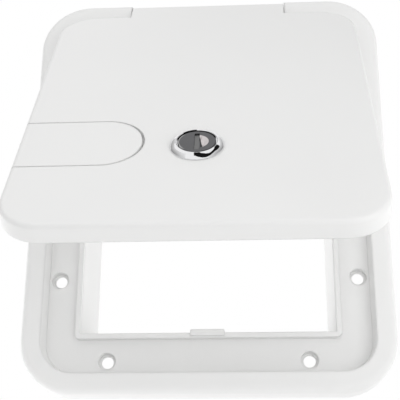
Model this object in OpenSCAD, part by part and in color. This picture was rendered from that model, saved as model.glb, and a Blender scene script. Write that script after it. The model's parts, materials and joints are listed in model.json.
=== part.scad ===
// Power cord hatch for a caravan or camper wall: a moulded frame with a raised rim and a
// sleeve through the wall, a top-hung lid that closes flush inside the rim, a rocking cord
// flap in the side of the lid, and a cam lock that catches behind a striker on the sleeve.
// X runs right, Z up, and the wall's outer skin is the plane Y = 0 with outdoors at -Y.

/* [Frame] */
// Width of the frame
frame_w = 180; // [160:1:220]
// Height of the frame
frame_h = 212; // [190:1:250]
// Outer corner radius of the frame
corner_r = 26; // [22:1:34]
// Width of the raised rim
rim_w = 10; // [9:0.5:12]
// Extra width of the rim on the hinge side
hinge_bar_w = 2.5; // [2:0.5:4]
// Height of the rim over the wall
rim_h = 14; // [13:0.5:17]
// Rounding of the rim's outer edge
rim_edge_r = 3.5; // [2:0.5:4]
// Lean of the rim's inner wall, over its height
rim_draft = 1; // [0.5:0.25:1.5]
// Height of the recessed floor over the wall
floor_h = 5; // [4.5:0.5:6]
// Wall thickness of the mouldings
wall_t = 2.5; // [2:0.25:3]

/* [Sleeve] */
// Clear width between the sleeve's side walls at the front
opening_w = 124; // [110:1:126]
// Clear height between the sleeve's top and bottom walls at the front
opening_h = 149.5; // [140:0.5:154]
// Depth of the sleeve behind the wall's outer skin
sleeve_depth = 36; // [25:1:50]
// Narrowing of the sleeve's side walls, front to back
sleeve_draft = 1.2; // [0.5:0.1:2]
// Narrowing of the sleeve's top and bottom walls, front to back
sleeve_end_draft = 0.3; // [0.1:0.1:1]
// Height of the drip rib over the floor
rib_h = 3; // [2:0.5:4]

/* [Screw holes] */
// Diameter of the screw holes
hole_d = 5.9; // [4:0.1:6.5]
// Diameter of the sinks round the screw holes
sink_d = 8.4; // [7:0.1:11]
// Depth of those sinks, for a pan-head screw
sink_depth = 3.2; // [1:0.1:4]
// Spacing across of the holes along the top and bottom
end_hole_pitch = 97.5; // [80:0.5:110]
// Distance of the holes along the sides from the frame's edge
side_hole_inset = 16.25; // [15:0.25:18]
// Spacing up of the holes along the sides
side_hole_rise = 94; // [60:1:110]

/* [Lid] */
// Angle at which the lid stands open
lid_open = 33; // [0:1:110]
// Thickness of the lid at its skirt
lid_t = 8.4; // [8:0.2:8.8]
// Corner radius of the lid
lid_corner_r = 19; // [14:1:22]
// Rounding of the lid's outer edge
lid_edge_r = 2; // [1:0.25:2.5]
// Gap beside the lid
side_gap = 2; // [1.5:0.25:3]
// Diameter of the hinge pin
hinge_pin_d = 3; // [2.5:0.1:3.5]
// Diameter of the lid's hinge barrel
barrel_d = 7; // [6.5:0.25:8]
// Width of the lid's hinge tongue
tongue_w = 82; // [60:1:90]

/* [Cord flap] */
// Width of the cord flap
flap_w = 34.6; // [28:0.2:38]
// Reach of the flap from the lid's side edge
flap_l = 53.8; // [48:0.2:56]
// Drop of the flap's pivot below the hinge
flap_drop = 137.7; // [130:0.1:145]
// Diameter of the flap's pin
flap_pin_d = 2.4; // [2:0.1:2.6]

/* [Lock] */
// Drop of the lock below the hinge
lock_drop = 141.6; // [136:0.1:146]
// Diameter of the lock's flange
flange_d = 23.2; // [22:0.2:26]
// Diameter of the recess in the lock's face
face_d = 17.4; // [16:0.2:18]
// Diameter of the turning plug
plug_d = 11.6; // [10:0.2:12]
// Reach of the cam from the lock's axis
cam_reach = 36.3; // [34:0.1:36.6]

/* [Hidden] */
$fn = 96;

plastic = "white";
chrome = "silver";
steel = "lightgray";
fit = 0.05;
over = 0.5;

// Frame
recess_bottom = -frame_h / 2 + rim_w;
recess_top = frame_h / 2 - rim_w - hinge_bar_w;
field_y = (recess_bottom + recess_top) / 2;
recess_w = frame_w - 2 * rim_w;
floor_t = 2.8;
end_hole_inset = 6.9;
end_hole_rise = recess_top - recess_bottom - 2 * end_hole_inset;
side_hole_pitch = frame_w - 2 * side_hole_inset;
boss_d = 14;
back_rib_t = 1.6;

// Sleeve
sleeve_w = opening_w + 2 * wall_t;
sleeve_h = opening_h + 2 * wall_t;
rib_top = floor_h + rib_h;
rib_corner_r = 2.5;

// Striker lip on the rib, with a pocket behind it for the cam's tip
striker_w = 16.6;
striker_rise = 1.5;
striker_foot = 1.6;
striker_t = 2.8;
striker_front = rib_top + 0.8;
striker_back = striker_front - striker_t;
striker_pocket = 1.2;
striker_r = 0.8;

// Hinge
hinge_inset = 4.2;
hinge_y = frame_h / 2 - hinge_inset;
hinge_z = rim_h - barrel_d / 2;
barrel_web = barrel_d / 2 * 0.7;
notch_w = tongue_w + 0.8;
pin_l = tongue_w + 16;
pin_boss_l = 10;

// Lid, closed
hinge_reach = 9.8;
foot_gap = 0.4;
lid_w = recess_w - rim_draft - 2 * side_gap;
lid_top = hinge_y - hinge_reach;
lid_bottom = recess_bottom + rim_draft + foot_gap;
lid_h = lid_top - lid_bottom;
lid_y = (lid_top + lid_bottom) / 2;
lid_back = rim_h - lid_t;
skin_back = rim_h - wall_t;

// Cord flap
flap_y = hinge_y - flap_drop;
flap_r = flap_w / 2;
flap_end_x = -lid_w / 2 + flap_l;
slot_gap = 0.5;
slot_end_gap = 1.1;
flap_pivot_x = flap_end_x - flap_r;
flap_pin_drop = 4.5;
flap_pivot_z = rim_h - flap_pin_drop;
flap_lug_d = 5.6;
flap_lug_t = 3;
flap_lug_y = 11;
lid_lug_y = flap_r + slot_gap + 0.2 + flap_lug_t / 2;
flap_pin_l = 2 * lid_lug_y + flap_lug_t - 0.4;

// Lock
lock_y = hinge_y - lock_drop;
face_rise = 2.4;
ring_t = 0.4;
flange_edge = 0.6;
flange_foot = 0.25;
bevel_r = 4;
head_t = 1.2;
head_gap = 0.5;
head_drop = 0.3;
keyway_w = 2.2;
keyway_l = 12.4;
keyway_depth = 0.9;
shutter_t = 0.3;
dish_r = 5.2;
dish_depth = 0.7;
lock_barrel_d = 18.8;
lock_flat = 16.4;
nut_t = 3;
nut_af = 23;
lock_pad_t = 1.5;
cam_t = 2;
cam_play = 0.6;
cam_front = striker_back - cam_play;
lock_back = cam_front + 0.6;
cam_w = 14;
tail_w = 7;
screw_d = 4;

// Stands a shape that lies on its back with height along Z up against the wall.
module upright() {
  rotate([90, 0, 0]) children();
}

// Swings a closed shape about the hinge to the angle at which the lid stands.
module on_lid() {
  upright()
    translate([0, hinge_y, hinge_z])
    rotate([-lid_open, 0, 0])
    translate([0, -hinge_y, -hinge_z])
    children();
}

module rounded_rect(w, h, r) {
  square([w - 2 * r, h], center = true);
  square([w, h - 2 * r], center = true);
  for (sx = [-1, 1], sy = [-1, 1])
    translate([sx * (w / 2 - r), sy * (h / 2 - r)]) circle(r);
}

// A plate with rounded corners and a quarter-round along its top edge.
module soft_plate(w, h, r, t, edge) {
  linear_extrude(t - edge) rounded_rect(w, h, r);
  linear_extrude(t) rounded_rect(w - 2 * edge, h - 2 * edge, r - edge);
  for (sx = [-1, 1])
    translate([sx * (w / 2 - edge), 0, t - edge])
      rotate([90, 0, 0]) cylinder(r = edge, h = h - 2 * r, center = true);
  for (sy = [-1, 1])
    translate([0, sy * (h / 2 - edge), t - edge])
      rotate([0, 90, 0]) cylinder(r = edge, h = w - 2 * r, center = true);
  for (sx = [-1, 1], sy = [-1, 1])
    translate([sx * (w / 2 - r), sy * (h / 2 - r), t - edge])
      rotate_extrude() translate([r - edge, 0]) circle(edge);
}

// A rounded pocket that widens by draft on every side over its depth.
module drafted_pocket(w, h, r, depth, draft) {
  rotate([90, 0, 0])
    linear_extrude(h - 2 * r, center = true)
    polygon([[-w / 2, 0], [w / 2, 0], [w / 2 + draft, depth], [-w / 2 - draft, depth]]);
  rotate([90, 0, 90])
    linear_extrude(w - 2 * r, center = true)
    polygon([[-h / 2, 0], [h / 2, 0], [h / 2 + draft, depth], [-h / 2 - draft, depth]]);
  for (sx = [-1, 1], sy = [-1, 1])
    translate([sx * (w / 2 - r), sy * (h / 2 - r), 0])
      cylinder(r1 = r, r2 = r + draft, h = depth);
}

// A sleeve or its bore: a square-cornered box that narrows towards the back.
module drafted_box(w, h, front, back) {
  intersection() {
    rotate([90, 0, 0])
      linear_extrude(h + 2 * over, center = true)
      polygon([
        [-w / 2, front], [w / 2, front],
        [w / 2 - sleeve_draft, back], [-w / 2 + sleeve_draft, back]
      ]);
    rotate([90, 0, 90])
      linear_extrude(w + 2 * over, center = true)
      polygon([
        [-h / 2, front], [h / 2, front],
        [h / 2 - sleeve_end_draft, back], [-h / 2 + sleeve_end_draft, back]
      ]);
  }
}

module at_holes() {
  for (sx = [-1, 1], sy = [-1, 1]) {
    translate([sx * end_hole_pitch / 2, field_y + sy * end_hole_rise / 2]) children();
    translate([sx * side_hole_pitch / 2, field_y + sy * side_hole_rise / 2]) children();
  }
}

// Channel under the rim, broken by cross ribs and closed beside the hinge.
module rim_channel() {
  channel_w = rim_w - 2 * wall_t;
  outer_w = frame_w - 2 * wall_t;
  outer_h = frame_h - 2 * wall_t;
  difference() {
    translate([0, 0, -over])
      linear_extrude(rim_h - wall_t + over)
      difference() {
        rounded_rect(outer_w, outer_h, corner_r - wall_t);
        rounded_rect(outer_w - 2 * channel_w, outer_h - 2 * channel_w, corner_r - wall_t - channel_w);
      }
    for (sx = [-1, 1])
      translate([sx * (notch_w / 2 + pin_boss_l / 2), frame_h / 2 - rim_w / 2, 0])
        cube([pin_boss_l + 0.02, rim_w, 3 * rim_h], center = true);
    for (sx = [-1, 1], y = [-66 : 33 : 66])
      translate([sx * (frame_w - rim_w) / 2, y, 0])
        cube([rim_w, back_rib_t, 3 * rim_h], center = true);
    for (x = [-54 : 27 : 54])
      translate([x, -(frame_h - rim_w) / 2, 0])
        cube([back_rib_t, rim_w, 3 * rim_h], center = true);
    translate([0, frame_h / 2 - rim_w / 2, 0])
      cube([notch_w, rim_w, 3 * rim_h], center = true);
  }
}

// Shallow hollows behind the floor, left between the rim, the sleeve and the screw bosses.
module floor_hollows() {
  difference() {
    translate([0, 0, -over])
      linear_extrude(floor_h - floor_t + over)
      difference() {
        rounded_rect(recess_w, frame_h - 2 * rim_w, corner_r - rim_w);
        translate([0, field_y]) square([sleeve_w, sleeve_h], center = true);
      }
    at_holes() translate([0, 0, -over]) cylinder(d = boss_d, h = floor_h);
    for (y = [-66 : 22 : 66])
      translate([0, field_y + y, 0]) cube([frame_w, back_rib_t, 3 * floor_h], center = true);
    for (x = [-30 : 30 : 30])
      translate([x, 0, 0]) cube([back_rib_t, frame_h, 3 * floor_h], center = true);
    translate([0, frame_h / 2, 0])
      cube([notch_w + 2 * pin_boss_l, 2 * rim_w + 8, 3 * floor_h], center = true);
  }
}

// Countersunk hole through the thin floor, inside the ring that bears on the wall.
module screw_hole() {
  translate([0, 0, -over]) cylinder(d = hole_d, h = floor_h + 2 * over);
  translate([0, 0, floor_h - sink_depth]) cylinder(d = sink_d, h = sink_depth + over);
}

module drip_rib() {
  linear_extrude(rib_top)
    difference() {
      rounded_rect(sleeve_w, sleeve_h, rib_corner_r);
      square([opening_w, opening_h], center = true);
    }
}

module striker() {
  wall_y = -opening_h / 2;
  top = wall_y + striker_rise;
  translate([0, 0, striker_back]) linear_extrude(striker_t) {
    translate([-striker_w / 2, wall_y - striker_foot])
      square([striker_w, striker_foot + striker_rise - striker_r]);
    translate([-striker_w / 2 + striker_r, top - 2 * striker_r])
      square([striker_w - 2 * striker_r, 2 * striker_r]);
    for (sx = [-1, 1])
      translate([sx * (striker_w / 2 - striker_r), top - striker_r]) circle(striker_r);
  }
}

// Hollow in the sleeve's bottom wall where the turned cam's tip passes behind the striker.
module striker_hollow() {
  depth = cam_t + 2 * cam_play;
  translate([-striker_w / 2, -opening_h / 2 - striker_pocket, striker_back - depth])
    cube([striker_w, 2 * striker_pocket, depth]);
}

module frame() {
  color(plastic) upright() difference() {
    union() {
      difference() {
        soft_plate(frame_w, frame_h, corner_r, rim_h, rim_edge_r);
        translate([0, field_y, floor_h])
          drafted_pocket(
            recess_w - 2 * rim_draft, recess_top - recess_bottom - 2 * rim_draft,
            corner_r - rim_w - rim_draft, rim_h - floor_h, rim_draft
          );
        rim_channel();
        floor_hollows();
      }
      translate([0, field_y, 0]) {
        drafted_box(sleeve_w, sleeve_h, floor_h - 1, -sleeve_depth);
        drip_rib();
      }
    }
    translate([0, field_y, 0])
      drafted_box(opening_w, opening_h, rib_top + over, -sleeve_depth - over);
    at_holes() screw_hole();
    translate([0, field_y, 0]) striker_hollow();
    translate([-notch_w / 2, recess_top - rim_draft - over, floor_h])
      cube([notch_w, frame_h, rim_h]);
    translate([-pin_l / 2 - over, hinge_y, hinge_z])
      rotate([0, 90, 0]) cylinder(d = hinge_pin_d, h = pin_l + 2 * over);
  }
  color(plastic) upright() translate([0, field_y, 0]) striker();
}

module hinge_pin() {
  color(steel) upright()
    translate([-pin_l / 2, hinge_y, hinge_z])
    rotate([0, 90, 0]) cylinder(d = hinge_pin_d, h = pin_l);
}

// The lid's whole shell, with nothing cut out for the flap.
module lid_shell() {
  translate([0, lid_y, 0])
    difference() {
      translate([0, 0, lid_back]) soft_plate(lid_w, lid_h, lid_corner_r, lid_t, lid_edge_r);
      linear_extrude(skin_back)
        rounded_rect(lid_w - 2 * wall_t, lid_h - 2 * wall_t, lid_corner_r - wall_t);
    }
}

// Outline of the cord flap, or of the slot it lies in when grown by the gaps.
module flap_outline(gap, end_gap) {
  r = flap_r + gap;
  centre_x = flap_end_x + end_gap - r;
  translate([-lid_w, flap_y - r]) square([lid_w + centre_x, 2 * r]);
  translate([centre_x, flap_y]) circle(r);
}

module hinge_tongue() {
  translate([-tongue_w / 2, 0, 0])
    rotate([90, 0, 90]) linear_extrude(tongue_w) {
      translate([hinge_y, hinge_z]) circle(d = barrel_d);
      translate([lid_top - wall_t, rim_h - 3.4]) square([hinge_y - lid_top + wall_t, 3.4]);
      polygon([
        [lid_top - over, rim_h - lid_t + 2], [hinge_y - barrel_web, hinge_z - barrel_web],
        [hinge_y, rim_h - 1], [lid_top - over, rim_h - 1]
      ]);
    }
}

// Stiffening ribs behind the lid's skin, kept inside the sleeve's opening.
module lid_ribs() {
  rib_t = 1.6;
  rib_z = skin_back - 4;
  for (sx = [-1, 1])
    translate([sx * 20 - rib_t / 2, -70, rib_z]) cube([rib_t, 138, 4 + over]);
  for (y = [66, 30, -6])
    translate([-56, y, rib_z]) cube([112, rib_t, 4 + over]);
  translate([20, -72, rib_z]) cube([36, rib_t, 4 + over]);
  translate([-56, -72, rib_z]) cube([36, rib_t, 4 + over]);
}

module lock_profile(gap) {
  intersection() {
    circle(d = lock_barrel_d + 2 * gap);
    square([lock_flat + 2 * gap, 2 * lock_barrel_d], center = true);
  }
}

module flap_lug(y, t, d) {
  translate([flap_pivot_x, y - t / 2, 0]) {
    translate([0, t, flap_pivot_z]) rotate([90, 0, 0]) cylinder(d = d, h = t);
    translate([-d / 2, 0, flap_pivot_z]) cube([d, t, skin_back - flap_pivot_z + 0.2]);
  }
}

// One side wall of the flap's slot, with a ledge that stops the flap at closed.
module flap_ledge(side) {
  start = wall_t + 1;
  run = flap_l - flap_r - start - flap_lug_d / 2 - 0.4;
  base = rib_top + 0.8;
  wall_y = flap_y + side * (flap_r + slot_gap + 0.8);
  ledge_y = flap_y + side * (flap_r - 0.2);
  translate([-lid_w / 2 + start, 0, base]) {
    translate([0, wall_y - 0.8, 0]) cube([run, 1.6, skin_back - base + 0.2]);
    translate([0, ledge_y - 1, 0]) cube([run, 2, skin_back - base - 0.15]);
  }
}

module lid() {
  color(plastic) on_lid() difference() {
    union() {
      difference() {
        union() {
          lid_shell();
          hinge_tongue();
          lid_ribs();
          translate([0, lock_y, skin_back - lock_pad_t])
            cylinder(d = 30, h = lock_pad_t + over);
        }
        translate([0, 0, -over]) linear_extrude(rim_h + 2 * over) flap_outline(slot_gap, slot_end_gap);
      }
      // Ledges that the closed flap rests on, on walls along the slot
      for (sy = [-1, 1]) flap_ledge(sy);
      for (sy = [-1, 1]) flap_lug(flap_y + sy * lid_lug_y, flap_lug_t, flap_lug_d);
    }
    translate([0, lock_y, 0]) linear_extrude(rim_h + over) lock_profile(0.1);
    translate([-tongue_w, hinge_y, hinge_z])
      rotate([0, 90, 0]) cylinder(d = hinge_pin_d + 2 * fit, h = 2 * tongue_w);
    translate([flap_pivot_x, flap_y + flap_pin_l / 2, flap_pivot_z])
      rotate([90, 0, 0]) cylinder(d = flap_pin_d, h = flap_pin_l);
  }
}

module cord_flap() {
  color(plastic) on_lid() difference() {
    union() {
      intersection() {
        lid_shell();
        linear_extrude(rim_h + over) flap_outline(0, 0);
      }
      for (sy = [-1, 1]) flap_lug(flap_y + sy * flap_lug_y, flap_lug_t, flap_lug_d);
    }
    translate([flap_pivot_x, flap_y + flap_w / 2, flap_pivot_z])
      rotate([90, 0, 0]) cylinder(d = flap_pin_d + 2 * fit, h = flap_w);
  }
}

module flap_pin() {
  color(steel) on_lid()
    translate([flap_pivot_x, flap_y + flap_pin_l / 2, flap_pivot_z])
    rotate([90, 0, 0]) cylinder(d = flap_pin_d, h = flap_pin_l);
}

// Section of the lock's flange, with a rounded bevel up to the ring about its face.
module flange_section() {
  flange_r = flange_d / 2;
  ring_r = face_d / 2 + ring_t;
  chord_w = flange_r - ring_r;
  chord_h = face_rise - flange_edge;
  chord = sqrt(chord_w * chord_w + chord_h * chord_h);
  set_back = sqrt(bevel_r * bevel_r - chord * chord / 4);
  bevel_x = (flange_r + ring_r) / 2 - set_back * chord_h / chord;
  bevel_z = (flange_edge + face_rise) / 2 - set_back * chord_w / chord;
  intersection() {
    polygon([
      [0, 0], [flange_r - flange_foot, 0], [flange_r, flange_foot],
      [flange_r, face_rise], [0, face_rise]
    ]);
    union() {
      square([bevel_x, face_rise]);
      translate([bevel_x, bevel_z]) circle(bevel_r);
    }
  }
}

module lock_body() {
  recess_z = rim_h + face_rise - head_drop - head_t - 0.2;
  color(chrome) on_lid() translate([0, lock_y, 0]) difference() {
    union() {
      translate([0, 0, rim_h]) rotate_extrude() flange_section();
      translate([0, 0, lock_back]) linear_extrude(rim_h - lock_back + 0.1) lock_profile(0);
    }
    translate([0, 0, lock_back - over]) cylinder(d = plug_d + 2 * fit, h = 2 * rim_h);
    translate([0, 0, recess_z]) cylinder(d = face_d, h = 2 * face_rise);
    translate([0, 0, rim_h + face_rise - 0.25])
      cylinder(d1 = face_d, d2 = face_d + 0.5, h = 0.26);
  }
}

module lock_nut() {
  color(steel) on_lid()
    translate([0, lock_y, skin_back - lock_pad_t - nut_t])
    linear_extrude(nut_t) difference() {
      circle(d = nut_af / cos(30), $fn = 6);
      lock_profile(0);
    }
}

// The plug, with a wide head that fills the ring, a keyway across it and a dish beside that.
module lock_plug() {
  head_d = face_d - 2 * head_gap;
  head_top = rim_h + face_rise - head_drop;
  color("dimgray") on_lid() translate([0, lock_y, 0]) difference() {
    union() {
      translate([0, 0, lock_back]) cylinder(d = plug_d, h = head_top - head_t / 2 - lock_back);
      translate([0, 0, head_top - head_t]) cylinder(d = head_d, h = head_t - 0.3);
      translate([0, 0, head_top - 0.3]) cylinder(d1 = head_d, d2 = head_d - 0.6, h = 0.3);
      translate([0, 0, (cam_front - cam_t + lock_back) / 2])
        cube([tail_w, tail_w, lock_back - cam_front + cam_t], center = true);
    }
    translate([0, 0, head_top]) cube([keyway_w, keyway_l, 2 * keyway_depth], center = true);
    intersection() {
      translate([0, 0, head_top - dish_depth])
        cylinder(r1 = dish_r - 2, r2 = dish_r, h = dish_depth + 0.01);
      translate([keyway_w / 2 + 0.5, -dish_r, 0]) cube([dish_r, 2 * dish_r, 2 * head_top]);
    }
    translate([0, 0, cam_front - cam_t - over]) cylinder(d = screw_d, h = 10);
  }
}

// Spring-loaded plate that closes the keyway.
module key_shutter() {
  color(chrome) on_lid()
    translate([0, lock_y, rim_h + face_rise - head_drop - keyway_depth + shutter_t / 2])
    cube([keyway_w - 0.1, keyway_l - 0.1, shutter_t], center = true);
}

module lock_cam() {
  color(steel) on_lid()
    translate([0, lock_y, cam_front - cam_t])
    linear_extrude(cam_t) difference() {
      union() {
        circle(d = cam_w);
        translate([0, -cam_w / 2]) square([cam_reach - 3, cam_w]);
        translate([cam_reach - 4, -cam_w / 2 + 3]) square([4, cam_w - 6]);
        for (sy = [-1, 1]) translate([cam_reach - 3, sy * (cam_w / 2 - 3)]) circle(3);
      }
      square(tail_w, center = true);
    }
}

module cam_screw() {
  head_d = 9;
  head_t = 2.4;
  color(steel) on_lid() translate([0, lock_y, 0]) {
    translate([0, 0, cam_front - cam_t - head_t]) cylinder(d = head_d, h = head_t);
    translate([0, 0, cam_front - cam_t - 0.1]) cylinder(d = screw_d, h = 8);
  }
}

frame();
hinge_pin();
lid();
cord_flap();
flap_pin();
lock_body();
lock_nut();
lock_plug();
key_shutter();
lock_cam();
cam_screw();
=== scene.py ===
"""Studio picture of the power cord hatch: the looks of its moulded plastic, lock and pins, the
lamps, the floor and the camera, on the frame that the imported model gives."""

import json
import math

import bmesh
import bpy
from mathutils import Matrix, Vector

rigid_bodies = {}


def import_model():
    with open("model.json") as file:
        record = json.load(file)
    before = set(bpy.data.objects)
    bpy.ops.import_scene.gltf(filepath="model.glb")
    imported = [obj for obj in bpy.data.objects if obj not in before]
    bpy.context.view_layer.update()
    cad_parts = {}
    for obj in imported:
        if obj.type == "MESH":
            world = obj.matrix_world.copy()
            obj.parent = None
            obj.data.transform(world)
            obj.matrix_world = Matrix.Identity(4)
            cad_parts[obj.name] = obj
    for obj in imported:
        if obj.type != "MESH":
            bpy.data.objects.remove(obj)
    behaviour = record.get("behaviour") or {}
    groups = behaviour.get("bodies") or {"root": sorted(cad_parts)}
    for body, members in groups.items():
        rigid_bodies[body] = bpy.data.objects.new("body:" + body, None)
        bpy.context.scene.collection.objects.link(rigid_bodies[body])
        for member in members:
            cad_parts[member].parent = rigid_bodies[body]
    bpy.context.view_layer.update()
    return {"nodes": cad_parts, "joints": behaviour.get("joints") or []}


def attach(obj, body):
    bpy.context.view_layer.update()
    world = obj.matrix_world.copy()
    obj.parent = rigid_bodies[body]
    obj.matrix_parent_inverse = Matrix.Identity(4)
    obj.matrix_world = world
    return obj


for stray in list(bpy.data.objects):
    bpy.data.objects.remove(stray)

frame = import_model()
nodes = frame["nodes"]
joints = {joint["name"]: joint for joint in frame["joints"]}

# Axes of the lid as it stands: out of its face, and up along it towards the hinge
LOCK_AXIS = Vector(joints["lock_turn"]["axis"])
LOCK_CENTRE = Vector(joints["lock_turn"]["pos_m"])
LID_OUT = -LOCK_AXIS.normalized()
LID_UP = Vector(joints["flap_hinge"]["axis"]).normalized()

PLASTIC_WHITE = (0.83, 0.83, 0.825)


# Node helpers


def new_group(name, inputs, outputs):
    """A shader node group; inputs are (name, kind, default) and outputs are (name, kind)."""
    group = bpy.data.node_groups.new(name, "ShaderNodeTree")
    for socket_name, kind, default in inputs:
        socket = group.interface.new_socket(socket_name, in_out="INPUT", socket_type=kind)
        socket.default_value = default
    for socket_name, kind in outputs:
        group.interface.new_socket(socket_name, in_out="OUTPUT", socket_type=kind)
    return group, group.nodes.new("NodeGroupInput"), group.nodes.new("NodeGroupOutput")


def noise(tree, vector, scale, detail, roughness):
    """A noise pattern from 0 to 1; scale is in waves per metre."""
    node = tree.nodes.new("ShaderNodeTexNoise")
    node.inputs["Scale"].default_value = scale
    node.inputs["Detail"].default_value = detail
    node.inputs["Roughness"].default_value = roughness
    tree.links.new(vector, node.inputs["Vector"])
    return node.outputs["Fac"]


def math_node(tree, operation, first, second=None, third=None, clamp=False):
    """One step of arithmetic; each operand is a socket or a number."""
    node = tree.nodes.new("ShaderNodeMath")
    node.operation = operation
    node.use_clamp = clamp
    for slot, value in enumerate((first, second, third)):
        if value is None:
            continue
        if isinstance(value, (int, float)):
            node.inputs[slot].default_value = value
        else:
            tree.links.new(value, node.inputs[slot])
    return node.outputs[0]


def along_axis(tree, vector, axis):
    """The part of a vector along a fixed axis."""
    node = tree.nodes.new("ShaderNodeVectorMath")
    node.operation = "DOT_PRODUCT"
    node.inputs[1].default_value = axis
    tree.links.new(vector, node.inputs[0])
    return node.outputs["Value"]


def soft_step(tree, value, low, high):
    """0 below low, 1 above high, with a smooth change between."""
    node = tree.nodes.new("ShaderNodeMapRange")
    node.interpolation_type = "SMOOTHSTEP"
    node.inputs["From Min"].default_value = low
    node.inputs["From Max"].default_value = high
    tree.links.new(value, node.inputs["Value"])
    return node.outputs["Result"]


def blend(tree, factor, first, second):
    """Mixes two colours; each is a socket or an RGB triple."""
    node = tree.nodes.new("ShaderNodeMix")
    node.data_type = "RGBA"
    tree.links.new(factor, node.inputs["Factor"])
    sockets = [socket for socket in node.inputs if socket.type == "RGBA"]
    for socket, value in zip(sockets, (first, second)):
        if isinstance(value, tuple):
            socket.default_value = (*value, 1)
        else:
            tree.links.new(value, socket)
    return [socket for socket in node.outputs if socket.type == "RGBA"][0]


# Shared finishes


def moulded_plastic_group():
    """Uneven gloss, faint flow tone and fine grain of a moulded face, and a painted shade that
    leans from side to side.
    """
    group, inside, outside = new_group(
        "Moulded plastic",
        [
            ("Colour", "NodeSocketColor", (0.8, 0.8, 0.8, 1)),
            ("Tone change", "NodeSocketFloat", 0.02),
            ("Painted shade lean", "NodeSocketFloat", 0.0),
            ("Gloss", "NodeSocketFloat", 0.4),
            ("Gloss change", "NodeSocketFloat", 0.08),
            ("Grain size", "NodeSocketFloat", 2400.0),
        ],
        [
            ("Colour", "NodeSocketColor"),
            ("Roughness", "NodeSocketFloat"),
            ("Height", "NodeSocketFloat"),
        ],
    )
    place = group.nodes.new("ShaderNodeTexCoord").outputs["Object"]
    flow = noise(group, place, scale=14.0, detail=3.0, roughness=0.55)
    cloud = noise(group, place, scale=60.0, detail=4.0, roughness=0.6)
    grain = group.nodes.new("ShaderNodeTexNoise")
    grain.inputs["Detail"].default_value = 2.0
    group.links.new(place, grain.inputs["Vector"])
    group.links.new(inside.outputs["Grain size"], grain.inputs["Scale"])

    # Tone: 1 plus or minus the change, from the slow flow pattern, and a painted shade that leans
    # from side to side
    swing = math_node(group, "SUBTRACT", flow, 0.5)
    swing = math_node(group, "MULTIPLY", swing, inside.outputs["Tone change"])
    across = along_axis(group, place, (1, 0, 0))
    lean = math_node(group, "MULTIPLY_ADD", across, inside.outputs["Painted shade lean"], 1.0)
    tone = math_node(group, "ADD", swing, lean)
    tint = group.nodes.new("ShaderNodeVectorMath")
    tint.operation = "SCALE"
    group.links.new(inside.outputs["Colour"], tint.inputs[0])
    group.links.new(tone, tint.inputs["Scale"])
    group.links.new(tint.outputs[0], outside.inputs["Colour"])

    rough = math_node(group, "SUBTRACT", cloud, 0.5)
    rough = math_node(group, "MULTIPLY", rough, inside.outputs["Gloss change"])
    rough = math_node(group, "ADD", rough, inside.outputs["Gloss"], clamp=True)
    group.links.new(rough, outside.inputs["Roughness"])
    group.links.new(grain.outputs["Fac"], outside.inputs["Height"])
    return group


def metal_finish_group():
    """Fine drawn lines, smudges and small pits of a plated or bare metal face."""
    group, inside, outside = new_group(
        "Metal finish",
        [
            ("Colour", "NodeSocketColor", (0.8, 0.8, 0.8, 1)),
            ("Dulling", "NodeSocketFloat", 0.1),
            ("Gloss", "NodeSocketFloat", 0.1),
            ("Smudge", "NodeSocketFloat", 0.05),
            ("Line stretch", "NodeSocketVector", (1.0, 1.0, 1.0)),
        ],
        [
            ("Colour", "NodeSocketColor"),
            ("Roughness", "NodeSocketFloat"),
            ("Height", "NodeSocketFloat"),
        ],
    )
    place = group.nodes.new("ShaderNodeTexCoord").outputs["Object"]
    stretch = group.nodes.new("ShaderNodeVectorMath")
    stretch.operation = "MULTIPLY"
    group.links.new(place, stretch.inputs[0])
    group.links.new(inside.outputs["Line stretch"], stretch.inputs[1])
    lines = noise(group, stretch.outputs[0], scale=900.0, detail=3.0, roughness=0.6)
    cloud = noise(group, place, scale=260.0, detail=4.0, roughness=0.6)

    dull = math_node(group, "MULTIPLY", cloud, inside.outputs["Dulling"])
    tone = math_node(group, "SUBTRACT", 1.0, dull)
    tint = group.nodes.new("ShaderNodeVectorMath")
    tint.operation = "SCALE"
    group.links.new(inside.outputs["Colour"], tint.inputs[0])
    group.links.new(tone, tint.inputs["Scale"])
    group.links.new(tint.outputs[0], outside.inputs["Colour"])

    rough = math_node(group, "MULTIPLY", cloud, inside.outputs["Smudge"])
    rough = math_node(group, "ADD", rough, inside.outputs["Gloss"], clamp=True)
    group.links.new(rough, outside.inputs["Roughness"])
    group.links.new(lines, outside.inputs["Height"])
    return group


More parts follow.
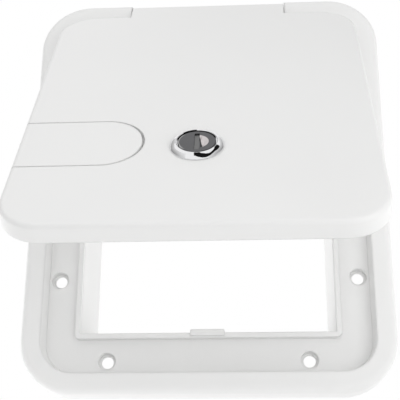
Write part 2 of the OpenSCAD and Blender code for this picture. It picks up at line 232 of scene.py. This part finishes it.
def plug_painted_light_group():
    """Masks for the light and shade painted on the plug's face: a painted reflection in its cut
    dish, a painted shadow line beside it, a painted highlight on the thin ring at its left and
    painted shade in the gaps round its edge."""
    group, inside, outside = new_group(
        "Plug painted light",
        [
            ("Dish radius", "NodeSocketFloat", 0.0052),
            ("Cut place", "NodeSocketFloat", 0.0017),
            ("Ring radius", "NodeSocketFloat", 0.0075),
            ("Gap radius", "NodeSocketFloat", 0.0079),
            ("Cut lean", "NodeSocketFloat", 0.19),
            ("Line offset", "NodeSocketFloat", 0.0002),
        ],
        [
            ("Dish reflection", "NodeSocketFloat"),
            ("Cut shadow line", "NodeSocketFloat"),
            ("Ring highlight", "NodeSocketFloat"),
            ("Gap", "NodeSocketFloat"),
        ],
    )
    place = group.nodes.new("ShaderNodeTexCoord").outputs["Object"]
    offset = group.nodes.new("ShaderNodeVectorMath")
    offset.operation = "SUBTRACT"
    group.links.new(place, offset.inputs[0])
    offset.inputs[1].default_value = LOCK_CENTRE
    across = along_axis(group, offset.outputs[0], (1, 0, 0))
    along = along_axis(group, offset.outputs[0], LID_UP)
    squares = math_node(group, "MULTIPLY", across, across)
    squares = math_node(group, "MULTIPLY_ADD", along, along, squares)
    radius = math_node(group, "SQRT", squares)

    # The cut leans a little, so that its lower end is further from the keyway
    past_cut = math_node(group, "MULTIPLY_ADD", along, inside.outputs["Cut lean"], across)
    past_cut = math_node(group, "SUBTRACT", past_cut, inside.outputs["Cut place"])
    # Painted reflection in the dish, beyond the cut
    within = math_node(group, "SUBTRACT", inside.outputs["Dish radius"], radius)
    inner = soft_step(group, within, low=0.0, high=0.0003)
    cut_side = soft_step(group, past_cut, low=0.0, high=0.0002)
    dish = math_node(group, "MULTIPLY", cut_side, inner)
    group.links.new(dish, outside.inputs["Dish reflection"])

    # Painted shadow line along the cut
    near_cut = math_node(group, "ADD", past_cut, inside.outputs["Line offset"])
    near_cut = math_node(group, "ABSOLUTE", near_cut)
    off_line = soft_step(group, near_cut, low=0.0001, high=0.0004)
    line = math_node(group, "SUBTRACT", 1.0, off_line)
    line = math_node(group, "MULTIPLY", line, inner)
    group.links.new(line, outside.inputs["Cut shadow line"])

    def towards(direction, low, high):
        """1 on the side of the face that lies towards a direction in its plane."""
        part = math_node(group, "MULTIPLY", across, direction[0])
        part = math_node(group, "MULTIPLY_ADD", along, direction[1], part)
        share = math_node(group, "DIVIDE", part, radius)
        return soft_step(group, share, low, high)

    # Painted highlight on a thin ring at the face's left
    past_ring = math_node(group, "SUBTRACT", radius, inside.outputs["Ring radius"])
    ring = soft_step(group, past_ring, low=-0.00005, high=0.0001)
    ring_side = towards((-1.0, 0.0), low=0.6, high=0.85)
    ring = math_node(group, "MULTIPLY", ring, ring_side)
    group.links.new(ring, outside.inputs["Ring highlight"])

    # Painted shade in the gaps round the face's edge, at its left and its right
    past_gap = math_node(group, "SUBTRACT", radius, inside.outputs["Gap radius"])
    gap_left = soft_step(group, past_gap, low=-0.0001, high=0.0001)
    left_side = towards((-0.67, 0.74), low=0.25, high=0.45)
    gap_left = math_node(group, "MULTIPLY", gap_left, left_side)
    gap_right = soft_step(group, past_gap, low=0.0004, high=0.0006)
    right_side = towards((0.95, 0.3), low=0.5, high=0.8)
    gap_right = math_node(group, "MULTIPLY", gap_right, right_side)
    gap = math_node(group, "MAXIMUM", gap_left, gap_right)
    group.links.new(gap, outside.inputs["Gap"])
    return group


def rim_edge_group():
    """Softness of the frame's edges: more along the top of the rim than lower down."""
    group, inside, outside = new_group(
        "Rim edge",
        [
            ("Fine edge", "NodeSocketFloat", 0.0007),
            ("Rim edge", "NodeSocketFloat", 0.002),
            ("Rim start", "NodeSocketFloat", 0.0085),
            ("Rim height", "NodeSocketFloat", 0.0115),
        ],
        [("Radius", "NodeSocketFloat")],
    )
    place = group.nodes.new("ShaderNodeTexCoord").outputs["Object"]
    height = along_axis(group, place, (0, -1, 0))
    past = math_node(group, "SUBTRACT", height, inside.outputs["Rim start"])
    climb = math_node(group, "SUBTRACT", inside.outputs["Rim height"], inside.outputs["Rim start"])
    on_rim = math_node(group, "DIVIDE", past, climb)
    on_rim = soft_step(group, on_rim, low=0.0, high=1.0)
    gain = math_node(group, "SUBTRACT", inside.outputs["Rim edge"], inside.outputs["Fine edge"])
    radius = math_node(group, "MULTIPLY_ADD", on_rim, gain, inside.outputs["Fine edge"])
    group.links.new(radius, outside.inputs["Radius"])
    return group


PLASTIC = moulded_plastic_group()
METAL = metal_finish_group()


def finish_material(name, group, values, bump, metallic=0.0, specular=0.5, soft_edge=0.0):
    """A Principled material fed by one of the finish groups; bump is in metres."""
    material = bpy.data.materials.new(name)
    material.use_nodes = True
    tree = material.node_tree
    shader = tree.nodes["Principled BSDF"]
    shader.inputs["Metallic"].default_value = metallic
    shader.inputs["Specular IOR Level"].default_value = specular
    finish = tree.nodes.new("ShaderNodeGroup")
    finish.node_tree = group
    for key, value in values.items():
        finish.inputs[key].default_value = value
    raise_node = tree.nodes.new("ShaderNodeBump")
    raise_node.inputs["Strength"].default_value = 1.0
    raise_node.inputs["Distance"].default_value = bump
    tree.links.new(finish.outputs["Height"], raise_node.inputs["Height"])
    if soft_edge:
        edge = tree.nodes.new("ShaderNodeBevel")
        edge.samples = 6
        edge.inputs["Radius"].default_value = soft_edge
        tree.links.new(edge.outputs["Normal"], raise_node.inputs["Normal"])
    tree.links.new(finish.outputs["Colour"], shader.inputs["Base Color"])
    tree.links.new(finish.outputs["Roughness"], shader.inputs["Roughness"])
    tree.links.new(raise_node.outputs["Normal"], shader.inputs["Normal"])
    return material


def white_plastic(name, colour, gloss, lean=0.0):
    """Gloss is the shader's roughness, and lean the change per metre to the right of a painted
    shade that lightens or darkens the face.
    """
    return finish_material(
        name,
        PLASTIC,
        {
            "Colour": (*colour, 1),
            "Tone change": 0.03,
            "Painted shade lean": lean,
            "Gloss": gloss,
            "Gloss change": 0.1,
            "Grain size": 2600.0,
        },
        bump=0.000012,
        specular=0.35,
        soft_edge=0.0007,
    )


def plated_metal(name, colour, gloss, smudge, dulling, stretch, bump, soft_edge=0.0):
    """Stretch draws the fine lines out along the axes where it is small."""
    return finish_material(
        name,
        METAL,
        {
            "Colour": (*colour, 1),
            "Gloss": gloss,
            "Smudge": smudge,
            "Dulling": dulling,
            "Line stretch": stretch,
        },
        bump=bump,
        metallic=1.0,
        soft_edge=soft_edge,
    )


frame_plastic = white_plastic("Frame white plastic", PLASTIC_WHITE, gloss=0.42)
# The lid and the flap get a painted shade, darker towards the right
lid_plastic = white_plastic("Lid white plastic", PLASTIC_WHITE, gloss=0.4, lean=-0.4)
flap_plastic = white_plastic("Flap white plastic", PLASTIC_WHITE, gloss=0.4, lean=-0.4)
lock_chrome = plated_metal(
    "Lock chrome",
    (0.86, 0.86, 0.87),
    gloss=0.04,
    smudge=0.04,
    dulling=0.06,
    stretch=(1, 1, 1),
    bump=0.0,
)
plug_metal = plated_metal(
    "Plug dark metal",
    (0.13, 0.13, 0.135),
    gloss=0.28,
    smudge=0.1,
    dulling=0.1,
    stretch=(0.15, 1, 1),
    bump=0.000003,
)
shutter_metal = plated_metal(
    "Shutter metal",
    (0.19, 0.19, 0.19),
    gloss=0.3,
    smudge=0.1,
    dulling=0.1,
    stretch=(1, 1, 0.2),
    bump=0.000003,
)
zinc_steel = plated_metal(
    "Zinc plated steel",
    (0.62, 0.61, 0.57),
    gloss=0.34,
    smudge=0.15,
    dulling=0.25,
    stretch=(0.2, 1, 1),
    bump=0.000006,
    soft_edge=0.0003,
)
pin_steel = plated_metal(
    "Pin steel",
    (0.6, 0.6, 0.61),
    gloss=0.25,
    smudge=0.1,
    dulling=0.15,
    stretch=(0.1, 1, 1),
    bump=0.000004,
)


# Painted light on the plug's face: a highlight grey for the ring, a reflection grey for the dish,
# and a painted shade black for the gaps and the cut
RING_HIGHLIGHT_GREY = (0.42, 0.42, 0.42)
PAINTED_SHADE_BLACK = (0.012, 0.012, 0.012)
DISH_REFLECTION_GREY = (0.66, 0.62, 0.62)


def paint_plug_light(material):
    """Paints light and shade on the plug's face: a painted reflection in the dish, a painted
    highlight on the ring, and painted shade in the cut and the gaps.
    """
    tree = material.node_tree
    shader = tree.nodes["Principled BSDF"]
    colour = shader.inputs["Base Color"].links[0].from_socket
    plug_light = tree.nodes.new("ShaderNodeGroup")
    plug_light.node_tree = plug_painted_light_group()
    colour = blend(tree, plug_light.outputs["Ring highlight"], colour, RING_HIGHLIGHT_GREY)
    colour = blend(tree, plug_light.outputs["Gap"], colour, PAINTED_SHADE_BLACK)
    colour = blend(tree, plug_light.outputs["Dish reflection"], colour, DISH_REFLECTION_GREY)
    colour = blend(tree, plug_light.outputs["Cut shadow line"], colour, PAINTED_SHADE_BLACK)
    tree.links.new(colour, shader.inputs["Base Color"])


# The plug's face gets its painted reflection, highlight and shade
paint_plug_light(plug_metal)


def soften_rim(material):
    """Rounds the look of the rim's edges more than that of the frame's finer ones."""
    tree = material.node_tree
    bevel = next(node for node in tree.nodes if node.bl_idname == "ShaderNodeBevel")
    edge = tree.nodes.new("ShaderNodeGroup")
    edge.node_tree = rim_edge_group()
    tree.links.new(edge.outputs["Radius"], bevel.inputs["Radius"])


soften_rim(frame_plastic)

FINISHES = {
    "frame": frame_plastic,
    "lid": lid_plastic,
    "cord_flap": flap_plastic,
    "hinge_pin": pin_steel,
    "flap_pin": pin_steel,
    "lock_body": lock_chrome,
    "lock_plug": plug_metal,
    "key_shutter": shutter_metal,
    "lock_nut": zinc_steel,
    "lock_cam": zinc_steel,
    "cam_screw": zinc_steel,
}
for name, material in FINISHES.items():
    if name in nodes:
        nodes[name].data.materials.clear()
        nodes[name].data.materials.append(material)


# Lip behind the flap's end


def lid_point(across, along, out):
    """A place in the lid's own directions, in millimetres from the middle of the lock's face."""
    return LOCK_CENTRE + (Vector((across, 0, 0)) + along * LID_UP + out * LID_OUT) / 1000


def flap_end_lip():
    """Lip under the skin of the lid that the flap's round end rests on, so that no light
    shows through the slit."""
    # Radius from the middle of the flap's end and height from the lid's face: a step and its foot
    section = [
        (16.2, -2.8), (17.7, -2.8), (17.9, -2.3), (19.3, -2.3), (19.3, -3.6), (19.0, -3.9),
        (16.5, -3.9), (16.2, -3.6),
    ]
    middle = (-40.4, 3.9)
    half_arc = math.radians(50)
    arc_steps = 20
    lip = bmesh.new()
    corners = [
        lip.verts.new(
            lid_point(
                middle[0] + radius * math.cos(-half_arc),
                middle[1] + radius * math.sin(-half_arc),
                out,
            )
        )
        for radius, out in section
    ]
    end = lip.faces.new(corners)
    bmesh.ops.spin(
        lip,
        geom=[end, *end.edges, *corners],
        cent=lid_point(*middle, 0),
        axis=LID_OUT,
        angle=2 * half_arc,
        steps=arc_steps,
    )
    bmesh.ops.recalc_face_normals(lip, faces=lip.faces)

    # Spin's own order changes from run to run, so the corners and faces are put in order along
    # a slanting line, on which no two of them are level
    slant = Vector((1, 0.17, 0.029))
    lip.verts.sort(key=lambda corner: corner.co.dot(slant))
    lip.faces.sort(key=lambda face: face.calc_center_median().dot(slant))

    mesh = bpy.data.meshes.new("flap_end_lip")
    lip.to_mesh(mesh)
    lip.free()
    mesh.materials.append(lid_plastic)
    piece = bpy.data.objects.new("flap_end_lip", mesh)
    bpy.context.scene.collection.objects.link(piece)
    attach(piece, "lid")


flap_end_lip()


# Floor, backdrop, lamps and camera

# The photograph's view, as fitted to the frame's and the lid's outlines
CAMERA_PLACE = Vector((0.02498, -0.45309, -0.18250))
CAMERA_LENS = 84.90
CAMERA_YAW = 3.72
CAMERA_PITCH = 21.432
CAMERA_ROLL = 0.344

FLOOR_LEVEL = -0.30
FLOOR_HALF_WIDTH = 3.0
FLOOR_GREY = (0.86, 0.86, 0.86, 1)
FLOOR_FADE = (0.4, 0.85)
WHITE = (1, 1, 1, 1)

# The dome of the lock's flange, which mirrors the cards
FLANGE_FOOT_RADIUS = 0.0116
FLANGE_TOP_RADIUS = 0.0091
FLANGE_FOOT_RISE = 0.0006
FLANGE_TOP_RISE = 0.0024
FLANGE_DOME_RADIUS = 0.004

# Angle round the flange, and the climb of the dark arc's lower and upper border there
DARK_STAND = [
    (266, 0.50, 1.00),
    (275.5, 0.28, 1.00),
    (284, 0.14, 0.80),
    (293, 0.10, 0.62),
    (302, 0.20, 0.52),
    (310.5, 0.34, 0.64),
    (318.5, 0.44, 0.76),
    (328.5, 0.42, 0.98),
    (337, 0.48, 0.98),
]
DARK_STAND_LEVEL = 0.01
DARK_STAND_DISTANCE = 0.12

# Lower and upper grey of the room's sides, at every ten degrees round the flange
LEFT_GREYS = [
    (0.6, 0.9), (0.5, 0.75), (0.38, 0.65), (0.33, 0.68), (0.28, 0.72),
    (0.28, 0.78), (0.38, 0.82), (0.6, 0.9), (0.8, 0.95),
]
RIGHT_GREYS = [
    (0.8, 0.95), (0.6, 0.9), (0.4, 0.85), (0.3, 0.8), (0.26, 0.8),
    (0.3, 0.85), (0.42, 0.85), (0.55, 0.88), (0.7, 0.95),
]
SIDE_CARD_CLIMB = 0.62
SIDE_CARD_DISTANCE = 0.52


def pale_floor():
    """A floor under the object that takes its shadow and ends in the white backdrop."""
    plane = bmesh.new()
    bmesh.ops.create_grid(
        plane,
        x_segments=1,
        y_segments=1,
        size=FLOOR_HALF_WIDTH,
        matrix=Matrix.Translation((0, 0, FLOOR_LEVEL)),
    )
    mesh = bpy.data.meshes.new("floor")
    plane.to_mesh(mesh)
    plane.free()
    floor = bpy.data.objects.new("floor", mesh)
    bpy.context.scene.collection.objects.link(floor)
    material = bpy.data.materials.new("Pale floor")
    material.use_nodes = True
    tree = material.node_tree
    shader = tree.nodes["Principled BSDF"]
    shader.inputs["Base Color"].default_value = FLOOR_GREY
    shader.inputs["Roughness"].default_value = 0.9

    # Fades into the white backdrop away from the object
    place = tree.nodes.new("ShaderNodeTexCoord").outputs["Object"]
    reach = tree.nodes.new("ShaderNodeVectorMath")
    reach.operation = "LENGTH"
    tree.links.new(place, reach.inputs[0])
    clear = tree.nodes.new("ShaderNodeBsdfTransparent")
    mix = tree.nodes.new("ShaderNodeMixShader")
    faded = soft_step(tree, reach.outputs["Value"], *FLOOR_FADE)
    tree.links.new(faded, mix.inputs[0])
    tree.links.new(shader.outputs[0], mix.inputs[1])
    tree.links.new(clear.outputs[0], mix.inputs[2])
    tree.links.new(mix.outputs[0], tree.nodes["Material Output"].inputs["Surface"])
    mesh.materials.append(material)


def studio_world(level):
    """White where the camera, gloss or glass look at it; a plain soft level as light."""
    world = bpy.data.worlds.new("Studio")
    bpy.context.scene.world = world
    world.use_nodes = True
    tree = world.node_tree
    tree.nodes.clear()
    path = tree.nodes.new("ShaderNodeLightPath")
    seen = math_node(tree, "MAXIMUM", path.outputs["Is Camera Ray"], path.outputs["Is Glossy Ray"])
    seen = math_node(tree, "MAXIMUM", seen, path.outputs["Is Transmission Ray"])
    light = tree.nodes.new("ShaderNodeBackground")
    light.inputs["Color"].default_value = WHITE
    light.inputs["Strength"].default_value = level
    white = tree.nodes.new("ShaderNodeBackground")
    white.inputs["Color"].default_value = WHITE
    white.inputs["Strength"].default_value = 1.0
    mix = tree.nodes.new("ShaderNodeMixShader")
    out = tree.nodes.new("ShaderNodeOutputWorld")
    tree.links.new(seen, mix.inputs[0])
    tree.links.new(light.outputs[0], mix.inputs[1])
    tree.links.new(white.outputs[0], mix.inputs[2])
    tree.links.new(mix.outputs[0], out.inputs["Surface"])


def soft_lamp(name, towards, distance, size, power):
    """A soft box that faces the frame's middle; towards is the direction from there to it."""
    data = bpy.data.lights.new(name, "AREA")
    data.shape = "RECTANGLE"
    data.size, data.size_y = size
    data.energy = power
    lamp = bpy.data.objects.new(name, data)
    bpy.context.scene.collection.objects.link(lamp)
    direction = Vector(towards).normalized()
    lamp.location = direction * distance
    lamp.rotation_mode = "QUATERNION"
    lamp.rotation_quaternion = (-direction).to_track_quat("-Z", "Y")
    lamp.visible_glossy = False
    lamp.visible_camera = False


def flange_mirror(angle, climb):
    """A place on the dome of the lock's flange and the direction that the camera sees mirrored
    there. The angle goes round the lock from the right, in degrees, and the climb from 0 at the
    foot of the dome to 1 at its top."""
    width = FLANGE_FOOT_RADIUS - FLANGE_TOP_RADIUS
    height = FLANGE_TOP_RISE - FLANGE_FOOT_RISE
    chord = math.hypot(width, height)
    set_back = math.sqrt(FLANGE_DOME_RADIUS**2 - chord**2 / 4)
    dome_reach = (FLANGE_FOOT_RADIUS + FLANGE_TOP_RADIUS) / 2 - set_back * height / chord
    dome_rise = (FLANGE_FOOT_RISE + FLANGE_TOP_RISE) / 2 - set_back * width / chord
    foot = math.atan2(FLANGE_FOOT_RISE - dome_rise, FLANGE_FOOT_RADIUS - dome_reach)
    top = math.atan2(FLANGE_TOP_RISE - dome_rise, FLANGE_TOP_RADIUS - dome_reach)
    slope = foot + (top - foot) * climb

    turn = math.radians(angle)
    spoke = Vector((math.cos(turn), 0, 0)) + math.sin(turn) * LID_UP
    normal = math.cos(slope) * spoke + math.sin(slope) * LID_OUT
    place = LOCK_CENTRE + dome_reach * spoke + dome_rise * LID_OUT + FLANGE_DOME_RADIUS * normal
    sight = (place - CAMERA_PLACE).normalized()
    return place, sight - 2 * sight.dot(normal) * normal


def clear_of_lid(angle):
    """The lowest climb at which the flange mirrors something above the lid."""
    climb = 0.0
    clear = math.sin(math.radians(1))
    while climb < 1 and flange_mirror(angle, climb)[1].dot(LID_OUT) < clear:
        climb += 0.01
    return climb


def reflection_card(name, arc, distance):
    """A curved strip of card that only mirrors see. For each angle round the flange the arc
    holds the climb and the grey level of the strip's lower and of its upper edge."""
    strip = bmesh.new()
    shade = strip.verts.layers.float_color.new("Shade")
    edges = ([], [])
    for angle, *borders in arc:
        for edge, (climb, level) in zip(edges, borders):
            place, mirrored = flange_mirror(angle, climb)
            edge.append(strip.verts.new(place + mirrored * distance))
            edge[-1][shade] = (level, level, level, 1)
    for edge in edges:
        for first, second in zip(edge, edge[1:]):
            strip.edges.new((first, second))
    bmesh.ops.bridge_loops(strip, edges=strip.edges)
    mesh = bpy.data.meshes.new(name)
    strip.to_mesh(mesh)
    strip.free()
    card = bpy.data.objects.new(name, mesh)
    bpy.context.scene.collection.objects.link(card)
    material = bpy.data.materials.new(name.capitalize())
    material.use_nodes = True
    tree = material.node_tree
    tree.nodes.clear()
    tint = tree.nodes.new("ShaderNodeAttribute")
    tint.attribute_name = "Shade"
    glow = tree.nodes.new("ShaderNodeEmission")
    tree.links.new(tint.outputs["Color"], glow.inputs["Color"])
    out = tree.nodes.new("ShaderNodeOutputMaterial")
    tree.links.new(glow.outputs[0], out.inputs["Surface"])
    mesh.materials.append(material)
    card.visible_camera = False
    card.visible_diffuse = False
    card.visible_transmission = False
    card.visible_shadow = False


def side_card(name, first_angle, greys):
    """A side of the room, from just above the lid; greys are the lower and upper level at
    every ten degrees round the flange."""
    arc = []
    for step, (lower, upper) in enumerate(greys):
        angle = first_angle + 10 * step
        low = clear_of_lid(angle)
        arc.append((angle, (low, lower), (min(low + SIDE_CARD_CLIMB, 1.0), upper)))
    reflection_card(name, arc, SIDE_CARD_DISTANCE)


def dark_stand_card():
    """The dark stand in front of the lock, up to the right."""
    level = DARK_STAND_LEVEL
    arc = [(angle, (low, level), (high, level)) for angle, low, high in DARK_STAND]
    reflection_card("dark stand card", arc, DARK_STAND_DISTANCE)


# Name, direction, distance, size and power in watts
LAMPS = [
    ("front", (0, -1, -0.1), 0.9, (0.7, 0.7), 0.15),
    ("front above", (0, -0.7, 0.7), 0.9, (0.7, 0.7), 1.32),
    ("near right", (0.5, -0.85, -0.15), 0.45, (0.3, 0.3), 0.44),
    ("near above left", (-0.6, -0.6, 0.55), 0.4, (0.25, 0.25), 0.11),
    ("right strip", (1, -0.1, -0.1), 0.62, (0.04, 0.5), 0.45),
    ("under", (0, 0, -1), 0.28, (0.3, 0.3), 0.048),
    ("low left", (-0.75, 0, -0.6), 0.36, (0.2, 0.2), 0.14),
    ("low behind left", (-0.6, 0.2, -0.7), 0.36, (0.2, 0.2), 0.11),
    ("behind right", (0.8, 0.75, -0.1), 0.9, (0.7, 0.7), 3.8),
    ("behind left", (-0.8, 0.75, -0.1), 0.9, (0.7, 0.7), 4.6),
]


def studio_camera():
    """A camera at the photograph's viewing angle."""
    data = bpy.data.cameras.new("camera")
    data.sensor_fit = "HORIZONTAL"
    data.sensor_width = 36.0
    data.lens = CAMERA_LENS
    data.clip_start, data.clip_end = 0.01, 20.0
    camera = bpy.data.objects.new("camera", data)
    bpy.context.scene.collection.objects.link(camera)
    yaw, pitch, roll = map(math.radians, (CAMERA_YAW, CAMERA_PITCH, CAMERA_ROLL))
    ahead = Vector(
        (-math.sin(yaw) * math.cos(pitch), math.cos(yaw) * math.cos(pitch), math.sin(pitch))
    )
    right = Vector((math.cos(yaw), math.sin(yaw), 0))
    up = right.cross(ahead)
    turn = Matrix((right, up, -ahead)).transposed() @ Matrix.Rotation(roll, 3, "Z")
    camera.matrix_world = Matrix.Translation(CAMERA_PLACE) @ turn.to_4x4()
    bpy.context.scene.camera = camera


pale_floor()
dark_stand_card()
side_card("left side card", first_angle=168, greys=LEFT_GREYS)
side_card("right side card", first_angle=296, greys=RIGHT_GREYS)
studio_world(level=0.61)
for name, towards, distance, size, power in LAMPS:
    soft_lamp(name, towards, distance, size, power)
studio_camera()

bpy.context.scene.view_settings.view_transform = "Standard"
